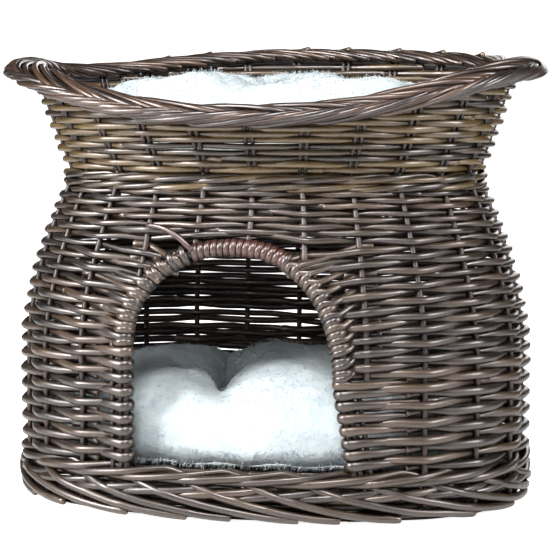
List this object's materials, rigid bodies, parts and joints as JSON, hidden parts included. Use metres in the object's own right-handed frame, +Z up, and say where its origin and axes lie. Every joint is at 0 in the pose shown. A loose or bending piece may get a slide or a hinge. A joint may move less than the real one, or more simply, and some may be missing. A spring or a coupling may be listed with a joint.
{
  "type": "wicker pet bed basket",
  "caption": "Two-storey woven willow pet basket: an oval barrel-shaped cave with an arched door below, a flared open bed with a plaited rim above, and a loose white plush cushion on each.",
  "frame": {"origin": "on the ground under the centre of the basket's plan", "axes": "+Z up, the door faces -Y, +X to the right seen from the door"},
  "size_m": [0.536, 0.366, 0.441],
  "materials": {
    "willow_dark": "grey-brown stained and varnished willow rods",
    "willow_olive": "olive-brown stained and varnished willow rods",
    "willow_stake": "dark stained willow stakes",
    "willow_rim": "brown stained and varnished willow rods",
    "cane_binding": "reddish-brown varnished cane",
    "white_plush": "short-pile white plush",
    "cushion_lining": "plain woven white cotton",
    "polyester_filling": "loose polyester fibre",
    "stitch_thread": "twisted thread"
  },
  "bodies": {
    "basket": {"floor_sticks": "willow_stake", "floor_weave": "willow_dark", "foot_border": "willow_dark", "base_waling": "willow_dark", "cave_stakes": "willow_stake", "cave_weave": "willow_dark", "shoulder_weave": "willow_dark", "door_post_left": "willow_dark", "door_post_right": "willow_dark", "door_post_wraps": "willow_dark", "door_arch_hoop": "willow_stake", "door_arch_binding": "cane_binding", "waist_waling": "willow_dark", "bed_floor_sticks": "willow_stake", "bed_floor_weave": "willow_olive", "bed_stakes": "willow_stake", "bed_weave": "willow_olive", "rim_border_core": "willow_stake", "rim_border_plait": "willow_rim"},
    "lower_cushion": {"lower_cushion_top_cover": "white_plush", "lower_cushion_base_cover": "cushion_lining", "lower_cushion_filling": "polyester_filling", "lower_cushion_tufts": "stitch_thread"},
    "upper_cushion": {"upper_cushion_top_cover": "white_plush", "upper_cushion_base_cover": "cushion_lining", "upper_cushion_filling": "polyester_filling", "upper_cushion_tufts": "stitch_thread"}
  },
  "joints": [
    {"name": "upper_cushion_lift", "type": "slide", "parent": "basket", "child": "upper_cushion", "axis": [0, 0, 1], "range_m": [0, 0.18]},
    {"name": "lower_cushion_lift", "type": "slide", "parent": "basket", "child": "lower_cushion", "axis": [0, 0, 1], "range_m": [0, 0.05]}
  ]
}
